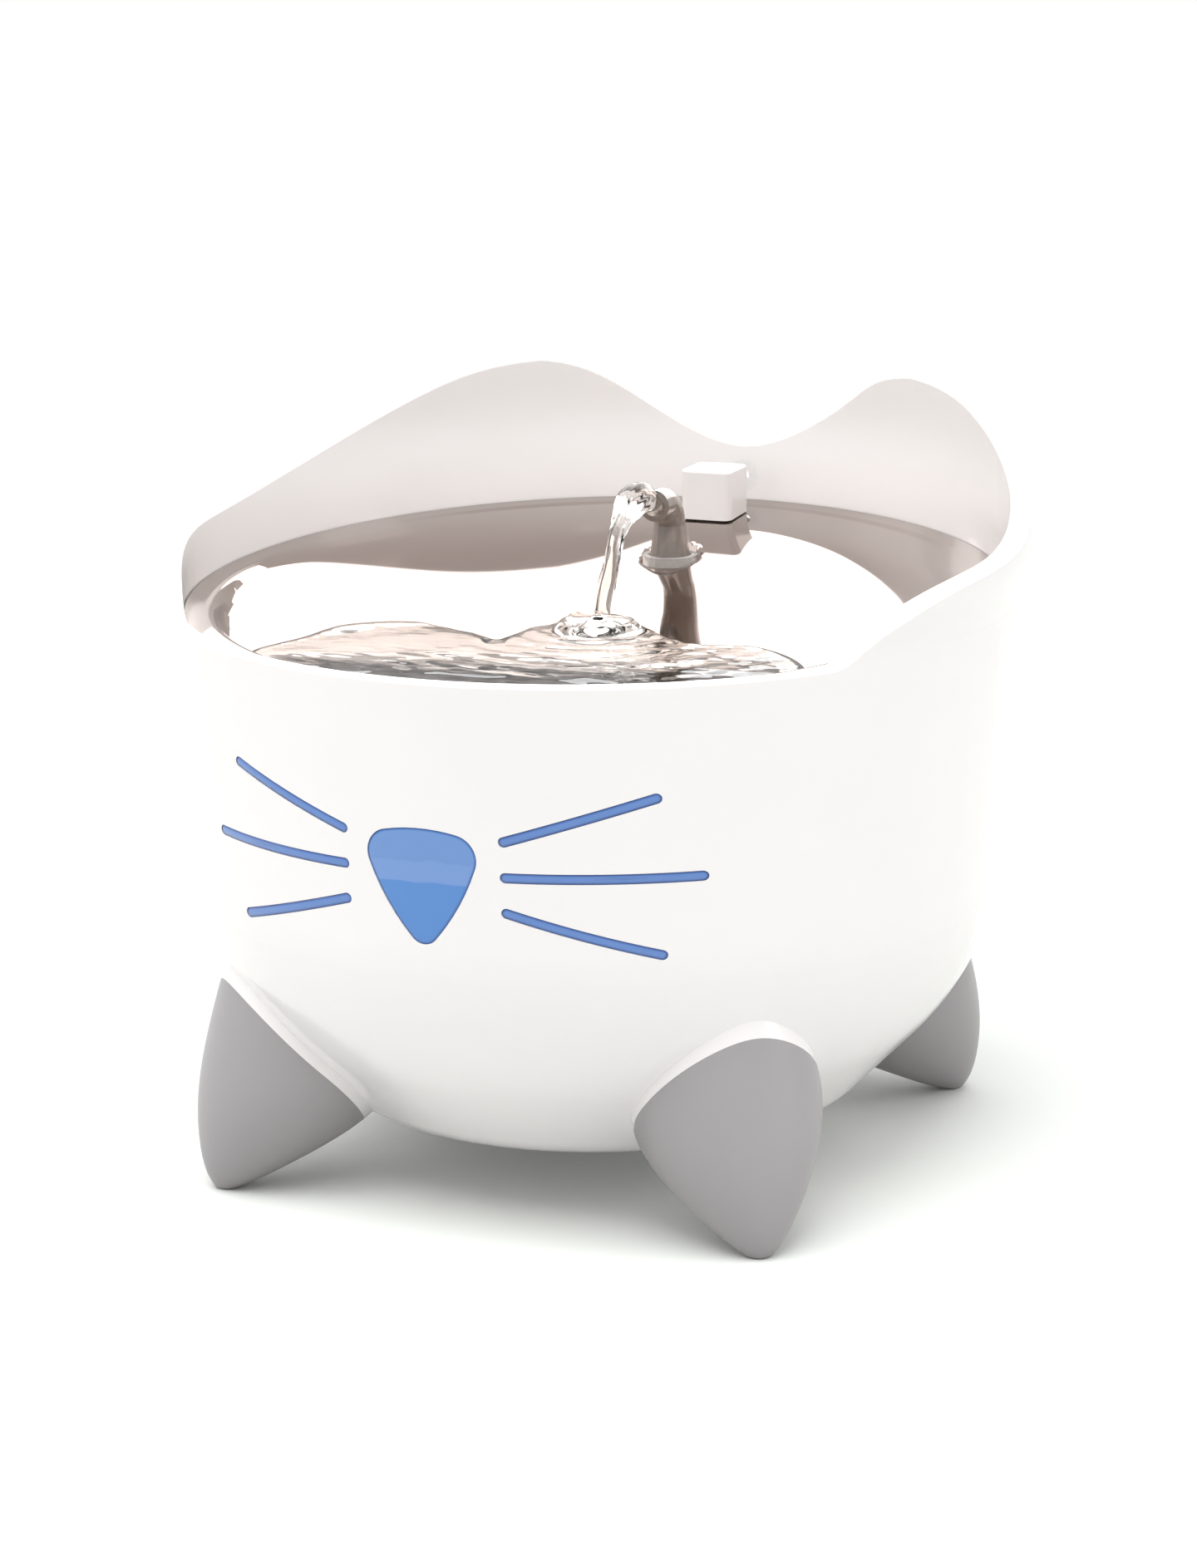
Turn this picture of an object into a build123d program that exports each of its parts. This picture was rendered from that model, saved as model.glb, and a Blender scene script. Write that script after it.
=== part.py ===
"""Pet water fountain: a round reservoir with an ear-shaped splash guard, a steel dish and a pump.

All lengths are millimetres. The origin is on the floor under the reservoir's axis, -Y is the
front with the nose window, +X is the right-hand side seen from the front, and +Z is up.
Every piece is written to parts/NAME.step.
"""
from build123d import *
from math import atan2, cos, degrees, hypot, prod, radians, sin, sqrt, tan
import os

os.makedirs("parts", exist_ok=True)

# ---------------------------------------------------------------- driving dimensions
# reservoir body: upright wall, 45 degree flank, flat base. Radii and places elsewhere are
# steps in or out from the rim, so the whole fountain follows when the rim is made larger.
rim_r, rim_z = 122.4, 163.0   # outside of the upright wall at the lip
hip_in, hip_z = 6.8, 60.4     # where flank and upright wall would meet without their rounding
hip_round = 75.0
base_z = 17.0                 # underside of the flat base above the floor
base_in = 49.7                # where base and flank would meet without their rounding
base_round = 20.0
wall = 3.0

# splash guard with two ears, one piece with the body
lip_down = 0.8                # top of the front lip under the rim's height
flare_out, flare_up = 2.3, 12.0
cheek_out, cheek_up = 0.7, 33.0
ear_in, ear_up = 1.2, 51.3    # outside of the guard at the ear tips
valley_up = 24.8              # low point of the guard between the ears
ear_side, ear_back = 62.8 / 121.2, 104.6 / 121.2    # ear tips, as shares of the radius there
blank_up = 2.0                # height of the turned blanks that is trimmed off the ear tips
ear_lean = (-0.08, 1)         # direction of the guard's side line at the ear tips
lip_end = 0.59                # share of the lip radius where the guard's edge leaves the lip
guard_edge = [                # share of the way back from lip to ear tip, share of the way up
    (0.0594, 0.0998), (0.1697, 0.2726), (0.4085, 0.3647), (0.663, 0.55), (0.8345, 0.8),
]
guard_edge_lean = (1, 0.05)
valley_edge = [               # share of the way out to an ear tip, share of the way down
    (0.605, 0.34), (0.27, 0.83),
]
guard_tip_wall = 3.0
guard_cheek_wall = 3.8
rim_round = 0.9               # rounding along the lip and the guard's edge
floor_cut_z, flank_cut_z, guard_cut_z = 22.0, 80.0, 140.0    # where the shell's slices meet

# steel dish, its flange tilted down to the front, its bowl deepest near the front
dish_in = 5.4                 # dish edge
dish_tilt = 3.18              # degrees
dish_z = 164.4                # dish flange on the body's axis
dish_flange = 8.0
# depth of the bowl's bottom under dish_z along the middle line, and how much less it is one dish
# radius to the side, at shares of that radius towards the back
bowl_down = (-0.9, 9.3), (-0.45, 19.0), (0.0, 15.4), (0.45, 2.43), (0.8, -5.9)
bowl_side_up = (-0.5, 11.2), (0.0, 16.9), (0.5, 8.4)
bowl_lean = 0.5               # how far the bowl's side leans in for each step down
seat_margin = 0.85            # of the spout's flat seat round its collar
dish_sheet = 1.0
dish_gap = 0.4                # between dish edge and guard
dish_seal_t = 0.9
seat_gap = 0.1                # between dish seal and ledge
ledge_w, ledge_t = 7.0, 3.0
return_slots, return_step = 7, 12.0
return_in, return_l, return_w = 11.0, 9.0, 3.2    # from the dish edge

# feet
leg_angles = {"front_right": -45, "front_left": -135, "rear_right": 45, "rear_left": 135}
leg_sections = [              # height, step of its centre in from the rim, half length, half width
    (0.4, 7.6, 3.8, 3.8),
    (5.0, 12.4, 11.0, 9.2),
    (15.0, 21.9, 22.0, 18.0),
    (30.0, 28.9, 28.0, 25.5),
    (45.0, 26.4, 22.0, 25.0),
    (60.0, 23.6, 15.2, 18.5),
    (74.0, 22.4, 8.0, 10.0),
]
shoulder = 3.0                # how far the body stands out over the foot's upper edge
pad_r, pad_h = 3.0, 3.0
screw_in = 32.4
screw_r, screw_head_r, screw_head_h = 1.5, 3.0, 2.2
screw_seat_z, screw_top_z = 20.0, 44.0
screw_clear = 0.2
screw_drive_w = 1.0
boss_r, boss_top_z = 4.5, 48.0

# nose window and whiskers, let into the front wall
nose_corner_x, nose_corner_z = 17.6, 118.6
nose_top_z, nose_tip_z = 122.0, 87.4
nose_side_bulge = 2.6
nose_corner_round, nose_tip_round = 7.0, 4.5
nose_flange, nose_flange_t, nose_gasket_t = 4.0, 2.0, 1.0
whisker_w = 2.9
whisker_in_x = 22.1
whiskers = {                  # inner end height, outer end x and height
    "high": (119.1, 62.9, 131.9),
    "middle": (109.6, 72.7, 109.4),
    "low": (100.1, 62.8, 87.5),
}

# spout on the dish, its heights from its seat
spout_back = 22.0             # behind the pump's shaft
spout_foot_r, spout_pipe_r = 6.3, 4.7
spout_foot_bore_r, spout_bore_r = 4.7, 3.3
spout_flange_r, spout_flange_t = 6.9, 1.1
spout_cone_h, spout_bend_r, spout_reach = 11.8, 7.5, 4.5
swivel_gap = 0.1
collar_r, collar_h, collar_round = 8.15, 2.9, 0.2
grommet_down, riser_up = 8.6, 3.4
grommet_hole_r = 6.0
riser_gap = 0.3

# cable cover and the seal under it, behind the spout, their heights from the dish's surface
cover_half_x, cover_step, cover_l, cover_up = 8.1, 28.0, 16.5, 14.9
cover_wall, cover_corner, cover_gap = 1.6, 2.4, 0.3
cover_notch_half, cover_notch_up = 2.6, 10.4
cable_r, cable_gap = 2.0, 0.15
cable_hole_r = 5.0
cable_seal_down, cable_seal_up = 4.0, 2.3
cord_outlet_up, cord_plug_r, cord_flange_r, cord_flange_t = 8.4, 5.0, 6.5, 1.2

# filter housing on the reservoir floor
tray_in, tray_spread, tray_top_z = 11.7, 13.5, 62.0    # step in from the base's corner
tray_wall, tray_chamfer = 2.0, 2.0
tray_slots, tray_slot_step, tray_slot_w = 9, 12.0, 3.0
tray_slot_low_z, tray_slot_top_z = 28.0, 55.0
filter_y, filter_t, filter_in, filter_h = -23.0, 14.0, 19.0, 37.7
filter_wall, filter_gap = 1.5, 0.3
filter_rim, filter_bar, filter_bars = 3.0, 2.0, 3
guide_lap = 3.5               # how far the guide ribs reach over the filter's ends
tab_half_x, tab_t, tab_h = 10.0, 3.0, 8.0

# pump, its rotor on an upright shaft
pump_in = 25.0                # step of the shaft in from the tray's wall
cup_r, cup_top_r, cup_h, cup_place = 5.0, 2.6, 4.0, 11.0
pump_r, pump_base_t, pump_h = 19.0, 2.0, 28.0
coil_in_r, coil_out_r, coil_room_in_r, coil_room_out_r = 9.2, 15.8, 8.8, 16.4
coil_h, coil_room_h = 12.5, 15.0
can_r, can_floor = 7.0, 3.0
chamber_r, chamber_h = 14.5, 10.0
cover_plate_t = 2.0
magnet_r, wheel_r, wheel_t, hub_r = 6.4, 11.0, 1.4, 3.0
blades, blade_t = 6, 1.4
shaft_r, shaft_gap = 1.0, 0.05
bush_r, bush_h, bush_boss_r = 2.5, 2.0, 4.0
end_gap = 0.4
intake_holes, intake_r, intake_place = 5, 2.6, 8.0
tower_r, spigot_r, spigot_h, duct_r = 5.5, 3.2, 8.0, 2.2
riser_r = 4.6
strainer_r, strainer_h, strainer_wall = 16.6, 12.0, 1.6
locator_h = 3.0
strainer_slots, strainer_slot_w, strainer_slot_h = 12, 1.6, 6.5
dial_r, dial_t, dial_gap, dial_pin_r, dial_pin_gap = 9.5, 1.7, 0.3, 1.5, 0.06
dial_window_r, dial_window_place, dial_windows = 2.4, 6.0, 4
knob_l, knob_w, knob_h = 16.0, 2.0, 3.0
lens_r, lens_z, lens_out, lens_in, lens_round = 4.0, 38.0, 2.5, 1.5, 2.4
gland_r, gland_out, gland_z = 3.0, 6.0, 33.0

# ---------------------------------------------------------------- shared helpers
FAR = 400.0                   # larger than the whole object
PAST = 1.0                    # how far a cut runs past the face it opens
wall_slope = hip_in / (rim_z - hip_z)

# what follows from the rim's radius and height
hip_r, base_corner_r = rim_r - hip_in, rim_r - base_in
flare_r, cheek_r, ear_r = rim_r + flare_out, rim_r + cheek_out, rim_r - ear_in
ear_x, ear_y = ear_side * ear_r, ear_back * ear_r
lip_z, valley_z, ear_z = rim_z - lip_down, rim_z + valley_up, rim_z + ear_up
flare_z, cheek_z, blank_z = rim_z + flare_up, rim_z + cheek_up, ear_z + blank_up
dish_r = rim_r - dish_in
bowl_r = dish_r - dish_flange
bowl_low_z = dish_z - max(down for _, down in bowl_down)
return_r = dish_r - return_in
screw_place_r = rim_r - screw_in
tray_base_r = base_corner_r - tray_in
tray_top_r = tray_base_r + tray_spread
filter_half_x = tray_base_r - filter_in
pump_y = tray_base_r - pump_in
spout_y = pump_y + spout_back
cover_front_y = spout_y + cover_step
cover_back_y = cover_front_y + cover_l


def cyl(r, z0, z1, at=(0, 0)):
    """Upright cylinder between two heights."""
    return Pos(at[0], at[1], (z0 + z1) / 2) * Cylinder(r, z1 - z0)


def ring(r_out, r_in, z0, z1, at=(0, 0)):
    """Upright tube between two heights."""
    return cyl(r_out, z0, z1, at) - cyl(r_in, z0 - PAST, z1 + PAST, at)


def block(x0, x1, y0, y1, z0, z1):
    """Box between two corners."""
    return Pos((x0 + x1) / 2, (y0 + y1) / 2, (z0 + z1) / 2) * Box(x1 - x0, y1 - y0, z1 - z0)


def across(r, y0, y1, z, x=0):
    """Cylinder along Y."""
    return Pos(x, (y0 + y1) / 2, z) * Rot(90, 0, 0) * Cylinder(r, y1 - y0)


def turned(face):
    """Solid of revolution about Z from a face drawn as radius and height."""
    return revolve(Plane.XZ * face, Axis.Z)


def outline(points):
    """Face inside straight lines."""
    return make_face(Polyline(*points, close=True))


def save(name, shape):
    """Write one piece, which is one solid or a group of like solids."""
    shape.label = name
    export_step(shape, f"parts/{name}.step")


half_plane = Pos(FAR / 2, 0) * Rectangle(FAR, 2 * FAR)


def body_inside(depth):
    """Everything inside the body's outer surface by a depth, without the guard's flare."""
    top_r = rim_r + wall_slope * (blank_z - rim_z)
    side = FilletPolyline(
        (-base_corner_r, base_z), (base_corner_r, base_z), (hip_r, hip_z), (top_r, blank_z),
        radius=[base_round, hip_round])
    closing = Polyline((top_r, blank_z), (-base_corner_r, blank_z), (-base_corner_r, base_z))
    face = make_face(side + closing)
    if depth:
        face = offset(face, amount=-depth)
    return turned(face & half_plane)


def between(depth_a, depth_b):
    """Layer of the body's wall between two depths."""
    return body_inside(depth_a) - body_inside(depth_b)


# ---------------------------------------------------------------- steel dish
dish_frame = Pos(0, 0, dish_z) * Rot(dish_tilt, 0, 0)


def through(knots, at):
    """Value at a place of the lowest curve through the knots."""
    return sum(
        value * prod((at - other) / (place - other) for other, _ in knots if other != place)
        for place, value in knots)


def bowl_z(y, x=0, grow=0):
    """Height of the bowl's bottom, or of one set lower by some thickness."""
    back, side = y / dish_r, x / dish_r
    slope = hypot(
        2 * side * through(bowl_side_up, back),
        500 * (through(bowl_down, back + 0.001) - through(bowl_down, back - 0.001))) / dish_r
    return dish_z - through(bowl_down, back) + side**2 * through(bowl_side_up, back) - grow * hypot(1, slope)


def dish_top_z(y):
    """Height of the dish's upper surface on the fountain's middle line."""
    return min(dish_z + y * tan(radians(dish_tilt)), bowl_z(y))


def tilted(points):
    """Solid of revolution about the dish's own axis."""
    return dish_frame * turned(outline(points))


spout_at = (0, spout_y)
spout_seat_z = bowl_z(spout_y - collar_r)
grommet_top_z = spout_seat_z
grommet_low_z = spout_seat_z - grommet_down
riser_top_z = grommet_low_z + riser_up
spout_cone_z = grommet_top_z + spout_cone_h


def bowl_room(grow):
    """Room in the bowl and over the spout's flat seat, larger all round by some amount."""
    side_r = bowl_r + grow * hypot(1, bowl_lean)
    deep = dish_z - bowl_low_z + wall
    side = tilted([
        (0, -deep), (side_r - bowl_lean * deep, -deep), (side_r + bowl_lean * PAST, PAST), (0, PAST)])
    net = [rim_r * (step / 4 - 1) for step in range(9)]
    bottom = Face.make_surface_from_array_of_points(
        [[Vector(x, y, bowl_z(y, x, grow)) for y in net] for x in net])
    bottom = extrude(bottom, FAR / 4, dir=(0, 0, 1))
    seat = cyl(collar_r + seat_margin + grow, spout_seat_z - grow, blank_z, spout_at)
    return (side & bottom) + seat


def below_dish(rise):
    """Everything under the dish's upper surface raised by some amount."""
    under = tilted([(0, rise), (dish_r, rise), (dish_r, -FAR / 4), (0, -FAR / 4)])
    return under - bowl_room(-rise)


cover_mid_y = (cover_front_y + cover_back_y) / 2
cable_at = (0, cover_mid_y)
cover_foot_z = dish_top_z(cover_mid_y)
cover_top_z = cover_foot_z + cover_up
cover_notch_z = cover_foot_z + cover_notch_up
cable_seal_low_z, cable_seal_top_z = cover_foot_z - cable_seal_down, cover_foot_z + cable_seal_up
cord_outlet_z = cover_foot_z + cord_outlet_up

steel_dish = below_dish(0) - below_dish(-dish_sheet)
for i in range(return_slots):
    turn = (i - (return_slots - 1) / 2) * return_step
    slot = Rot(0, 0, turn) * Pos(0, -return_r) * SlotOverall(return_l, return_w)
    steel_dish -= dish_frame * Pos(0, 0, bowl_low_z - dish_z) * extrude(slot, dish_z - bowl_low_z)
steel_dish -= cyl(grommet_hole_r, base_z, ear_z, spout_at)
steel_dish -= cyl(cable_hole_r, base_z, ear_z, cable_at)
save("steel_dish", steel_dish)

seal_top = -dish_sheet
seal_low = seal_top - dish_seal_t
ledge_in_r = dish_r + dish_gap - ledge_w
dish_seal = tilted([
    (ledge_in_r, seal_top), (dish_r, seal_top), (dish_r, seal_low), (ledge_in_r, seal_low)])
save("dish_seal", dish_seal)

# ---------------------------------------------------------------- reservoir shell
guard_side = Spline(
    (rim_r, rim_z), (flare_r, flare_z), (cheek_r, cheek_z), (ear_r, blank_z),
    tangents=[(wall_slope, 1), ear_lean])
body_side = FilletPolyline(
    (0, base_z), (base_corner_r, base_z), (hip_r, hip_z), (rim_r, rim_z),
    radius=[base_round, hip_round])
outer = turned(make_face(
    body_side + guard_side + Polyline((ear_r, blank_z), (0, blank_z), (0, base_z))))

legs = {}
leg_shape = loft([Pos(rim_r - step, 0, z) * Ellipse(a, b) for z, step, a, b in leg_sections])
shoulder_room = body_inside(-shoulder)
for name, angle in leg_angles.items():
    legs[name] = Rot(0, 0, angle) * leg_shape
    outer += legs[name] & shoulder_room

ledge_top = seal_low - seat_gap
ledge_low = ledge_top - ledge_t
reach = rim_r + wall - ledge_in_r
above_ledge = tilted([
    (0, ledge_low), (ledge_in_r, ledge_low), (ledge_in_r + reach, ledge_low - reach),
    (FAR / 2, ledge_low - reach), (FAR / 2, FAR / 4), (0, FAR / 4)])
cavity = body_inside(wall) - above_ledge
ledge_bore = tilted([
    (0, ledge_low - PAST), (ledge_in_r, ledge_low - PAST), (ledge_in_r, 0), (0, 0)])

pocket_r = dish_r + dish_gap
back_rim_z = dish_z + dish_r * sin(radians(dish_tilt))
guard_low = (pocket_r, back_rim_z - ledge_t)
guard_tip = (ear_r - guard_tip_wall, blank_z)
guard_inner = Spline(
    guard_low, (cheek_r - guard_cheek_wall, cheek_z), guard_tip, tangents=[(0, 1), ear_lean])
guard_room = turned(make_face(guard_inner + Polyline(
    guard_tip, (0, blank_z), (0, base_z), (pocket_r, base_z), guard_low)))
guard_room &= tilted([(0, ledge_top), (FAR / 2, ledge_top), (FAR / 2, FAR / 4), (0, FAR / 4)])

# edge of lip and guard seen from the side, and the valley between the ears seen from the front
lip_end_y = -lip_end * rim_r
edge_side = Spline(
    (lip_end_y, lip_z),
    *((lip_end_y + back * (ear_y - lip_end_y), lip_z + up * (ear_z - lip_z)) for back, up in guard_edge),
    (ear_y, ear_z), tangents=[guard_edge_lean, guard_edge_lean])
over_edge = Plane.YZ * make_face(edge_side + Polyline(
    (ear_y, ear_z), (FAR, ear_z), (FAR, FAR), (-FAR, FAR), (-FAR, lip_z), (lip_end_y, lip_z)))
over_edge = extrude(over_edge, FAR / 2, both=True)
valley_side = [(out * ear_x, ear_z - down * (ear_z - valley_z)) for out, down in valley_edge]
valley_line = Spline(
    (-ear_x, ear_z), *((-x, z) for x, z in valley_side), (0, valley_z), *reversed(valley_side),
    (ear_x, ear_z), tangents=[(1, -0.05), (1, 0.05)])
valley = make_face(valley_line + Polyline((ear_x, ear_z), (ear_x, FAR), (-ear_x, FAR), (-ear_x, ear_z)))
valley = Pos(0, ear_y / 2, 0) * extrude(Plane.XZ * valley, -FAR / 2)

shell = outer - cavity - ledge_bore - guard_room
screw_at = {
    name: (screw_place_r * cos(radians(a)), screw_place_r * sin(radians(a)))
    for name, a in leg_angles.items()}
for at in screw_at.values():
    shell += cyl(boss_r, base_z, boss_top_z, at) & body_inside(wall / 2)
    shell -= cyl(screw_r, 0, screw_top_z, at)
trim = over_edge + valley
shell -= trim
rim_edges = [
    e for e in shell.edges()
    if e.length > 2 * wall and all(trim.distance_to(e @ part) < 0.01 for part in (0.3, 0.7))]
shell = fillet(rim_edges, rim_round)

# ---------------------------------------------------------------- nose window and whiskers
chord = (nose_corner_x, nose_corner_z - nose_tip_z)
chord_l = hypot(*chord)
side_mid = (
    nose_corner_x / 2 + nose_side_bulge * chord[1] / chord_l,
    (nose_corner_z + nose_tip_z) / 2 - nose_side_bulge * chord[0] / chord_l)
nose_face = make_face(
    ThreePointArc((-nose_corner_x, nose_corner_z), (0, nose_top_z), (nose_corner_x, nose_corner_z))
    + ThreePointArc((nose_corner_x, nose_corner_z), side_mid, (0, nose_tip_z))
    + ThreePointArc((0, nose_tip_z), (-side_mid[0], side_mid[1]), (-nose_corner_x, nose_corner_z)))
tip_corner = nose_face.vertices().sort_by(Axis.Y)[0]
nose_face = fillet(tip_corner, nose_tip_round)
nose_face = fillet(nose_face.vertices().sort_by(Axis.Y)[-2:], nose_corner_round)


def through_front(face):
    """Straight block through the front half of the body behind a face in the front view."""
    return Pos(0, -rim_r / 3, 0) * extrude(Plane.XZ * face, FAR / 2)


wall_layer = between(0, wall)
nose_block = through_front(nose_face)
nose_wide_block = through_front(offset(nose_face, amount=nose_flange))
gasket_depth = wall + nose_gasket_t
nose_window = nose_block & between(0, gasket_depth)
nose_window += nose_wide_block & between(gasket_depth, gasket_depth + nose_flange_t)
save("nose_window", nose_window)
save("nose_gasket", (nose_wide_block - nose_block) & between(wall, gasket_depth))
shell -= nose_block

for height, (in_z, out_x, out_z) in whiskers.items():
    for side, sign in (("left", -1), ("right", 1)):
        run = hypot(out_x - whisker_in_x, out_z - in_z)
        lean = degrees(atan2(out_z - in_z, sign * (out_x - whisker_in_x)))
        middle = Pos(sign * (out_x + whisker_in_x) / 2, (out_z + in_z) / 2)
        slot_block = through_front(middle * Rot(0, 0, lean) * SlotOverall(run, whisker_w))
        save(f"whisker_{side}_{height}", slot_block & wall_layer)
        shell -= slot_block

# ---------------------------------------------------------------- cord outlet in the guard
guard_wall = outer - guard_room
cord_plug = across(cord_plug_r, 0, FAR / 2, cord_outlet_z)
back_y = flare_r
cord_plug += across(cord_flange_r, back_y - cord_flange_t, FAR / 2, cord_outlet_z)
cable_bore_r = cable_r + cable_gap
cord_grommet = (cord_plug & guard_wall) - across(cable_bore_r, 0, FAR / 2, cord_outlet_z)
save("cord_grommet", cord_grommet)
shell -= cord_plug

# the shell is one moulding, kept as level slices so that each has a simple shape to collide with
slices = {
    "reservoir_floor": (0, floor_cut_z), "reservoir_flank": (floor_cut_z, flank_cut_z),
    "reservoir_wall": (flank_cut_z, guard_cut_z), "splash_guard": (guard_cut_z, FAR)}
for name, (low_z, top_z) in slices.items():
    save(name, shell & block(-FAR, FAR, -FAR, FAR, low_z, top_z))

# ---------------------------------------------------------------- feet
tip_r = rim_r - leg_sections[0][1]
screws = []
for name, angle in leg_angles.items():
    at = screw_at[name]
    tip_at = (tip_r * cos(radians(angle)), tip_r * sin(radians(angle)))
    foot = legs[name] - shoulder_room
    foot -= cyl(screw_head_r + screw_clear, -PAST, screw_seat_z, at)
    foot -= cyl(screw_r + screw_clear, 0, screw_top_z, at)
    foot -= cyl(pad_r, -PAST, pad_h, tip_at)
    save(f"foot_{name}", foot)
    save(f"foot_pad_{name}", cyl(pad_r, 0, pad_h, tip_at))
    head = cyl(screw_head_r, screw_seat_z - screw_head_h, screw_seat_z, at)
    drive = block(
        -screw_drive_w / 2, screw_drive_w / 2, -screw_head_r / 2, screw_head_r / 2,
        0, screw_seat_z - screw_head_h / 2)
    screws.append(head + cyl(screw_r, screw_seat_z, screw_top_z, at) - Pos(*at) * drive)
save("foot_screws", Compound(children=screws))

# ---------------------------------------------------------------- spout
spout_grommet = cyl(collar_r, grommet_low_z, grommet_top_z, spout_at)
spout_grommet -= cyl(riser_r + riser_gap, grommet_low_z - PAST, grommet_top_z + PAST, spout_at)
save("spout_grommet", spout_grommet - steel_dish)

flange_low = grommet_top_z + swivel_gap
flange_top = flange_low + spout_flange_t
collar_top = grommet_top_z + collar_h
spout_collar = ring(collar_r, spout_foot_r + swivel_gap, grommet_top_z, collar_top, spout_at)
spout_collar -= cyl(
    spout_flange_r + swivel_gap, grommet_top_z - PAST, flange_top + swivel_gap, spout_at)
collar_edges = spout_collar.edges().filter_by(GeomType.CIRCLE).group_by(Axis.Z)[-1]
save("spout_collar", fillet(collar_edges, collar_round))


def spout_body(foot_r, pipe_r, extra):
    """Cone, quarter bend and short outlet of the spout, as outside or as bore."""
    cone_h = spout_cone_z - flange_low + extra
    cone = Pos(0, spout_y, spout_cone_z - cone_h / 2) * Cone(foot_r, pipe_r, cone_h)
    bend_axis = Axis((0, spout_y - spout_bend_r, spout_cone_z), (1, 0, 0))
    section = Pos(0, spout_y, spout_cone_z) * Circle(pipe_r)
    bend = revolve(section, bend_axis, 90)
    out_y = spout_y - spout_bend_r
    outlet = across(pipe_r, out_y - spout_reach - extra, out_y, spout_cone_z + spout_bend_r)
    return cone + bend + outlet


spout_elbow = spout_body(spout_foot_r, spout_pipe_r, 0) + cyl(
    spout_flange_r, flange_low, flange_top, spout_at)
spout_elbow -= spout_body(spout_foot_bore_r, spout_bore_r, PAST)
save("spout_elbow", spout_elbow)

# ---------------------------------------------------------------- cable cover and seal
seal_boss_r = cover_half_x - cover_wall - cover_gap
cable_seal = cyl(seal_boss_r, cable_seal_low_z, cable_seal_top_z, cable_at) - steel_dish
cable_seal -= cyl(cable_bore_r, base_z, ear_z, cable_at)
save("cable_seal", cable_seal)

cover_block = block(
    -cover_half_x, cover_half_x, cover_front_y, cover_back_y, bowl_low_z, cover_top_z)
cover_block = fillet(cover_block.edges().filter_by(Axis.Z), cover_corner)
cover_block = fillet(cover_block.edges().group_by(Axis.Z)[-1], cover_wall / 2)
cover_room = block(
    -cover_half_x + cover_wall, cover_half_x - cover_wall, cover_front_y + cover_wall,
    cover_back_y - cover_wall, 0, cover_top_z - cover_wall)
cable_cover = cover_block - cover_room - below_dish(cover_gap)
cable_cover -= block(
    -cover_notch_half, cover_notch_half, cover_mid_y, cover_back_y + PAST, 0, cover_notch_z)
save("cable_cover", cable_cover)

# ---------------------------------------------------------------- filter housing
floor_z = base_z + wall
tray_floor_z = floor_z + tray_wall


def tray_line(inset):
    """Radius and height of the housing's sloping wall at foot and rim, moved inwards."""
    return (tray_base_r - inset, floor_z + tray_chamfer), (tray_top_r - inset, tray_top_z)


tray_foot, tray_rim = tray_line(0)
tray_outer = turned(outline([
    (0, floor_z), (tray_foot[0] - tray_chamfer, floor_z), tray_foot, tray_rim, (0, tray_top_z)]))
inner_foot, inner_rim = tray_line(tray_wall)
tray_room = turned(outline([
    (0, tray_floor_z), (inner_foot[0], tray_floor_z), inner_rim,
    (inner_rim[0], tray_top_z + PAST), (0, tray_top_z + PAST)]))
filter_housing = tray_outer - tray_room
for i in range(tray_slots):
    turn = (i - (tray_slots - 1) / 2) * tray_slot_step
    filter_housing -= Rot(0, 0, turn) * block(
        -tray_slot_w / 2, tray_slot_w / 2, -tray_top_r, -tray_base_r + 3 * tray_wall,
        tray_slot_low_z, tray_slot_top_z)
guide_in_x = filter_half_x - guide_lap
for sign in (-1, 1):
    for side in (-1, 1):
        rib_y = filter_y + side * (filter_t / 2 + filter_gap + tray_wall / 2)
        inner_x, outer_x = sorted((sign * guide_in_x, sign * tray_top_r))
        rib = block(
            inner_x, outer_x, rib_y - tray_wall / 2, rib_y + tray_wall / 2,
            tray_floor_z, tray_top_z - tray_wall)
        filter_housing += rib & tray_outer
save("filter_housing", filter_housing)

filter_low_z = tray_floor_z + filter_gap
filter_top_z = filter_low_z + filter_h
front_y, rear_y = filter_y - filter_t / 2, filter_y + filter_t / 2
filter_frame = block(-filter_half_x, filter_half_x, front_y, rear_y, filter_low_z, filter_top_z)
media_half_x = filter_half_x - 2 * filter_wall
media_low_z, media_top_z = filter_low_z + 2 * filter_wall, filter_top_z - 2 * filter_wall
filter_frame -= block(
    -media_half_x, media_half_x, front_y + filter_wall, rear_y - filter_wall, media_low_z, media_top_z)
window_half_x = media_half_x - filter_rim
window = block(
    -window_half_x, window_half_x, front_y - PAST, rear_y + PAST,
    media_low_z + filter_rim, media_top_z - filter_rim)
pitch = 2 * window_half_x / (filter_bars + 1)
for i in range(filter_bars):
    bar_x = -window_half_x + (i + 1) * pitch
    window -= block(bar_x - filter_bar / 2, bar_x + filter_bar / 2, -FAR, FAR, 0, FAR)
save("filter_frame", filter_frame - window)
save("filter_foam", block(
    -media_half_x, media_half_x, front_y + filter_wall, filter_y, media_low_z, media_top_z))
save("filter_carbon", block(
    -media_half_x, media_half_x, filter_y, rear_y - filter_wall, media_low_z, media_top_z))
tab = block(
    -tab_half_x, tab_half_x, filter_y - tab_t / 2, filter_y + tab_t / 2,
    filter_top_z, filter_top_z + tab_h)
save("filter_tab", fillet(tab.edges().filter_by(Axis.Y).group_by(Axis.Z)[-1], tab_t))

# ---------------------------------------------------------------- pump
pump_at = (0, pump_y)
pump_low_z = tray_floor_z + cup_h
housing_low_z = pump_low_z + pump_base_t
housing_top_z = housing_low_z + pump_h
plate_top_z = housing_top_z + cover_plate_t
chamber_low_z = housing_top_z - chamber_h
can_low_z = housing_low_z + can_floor

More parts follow.
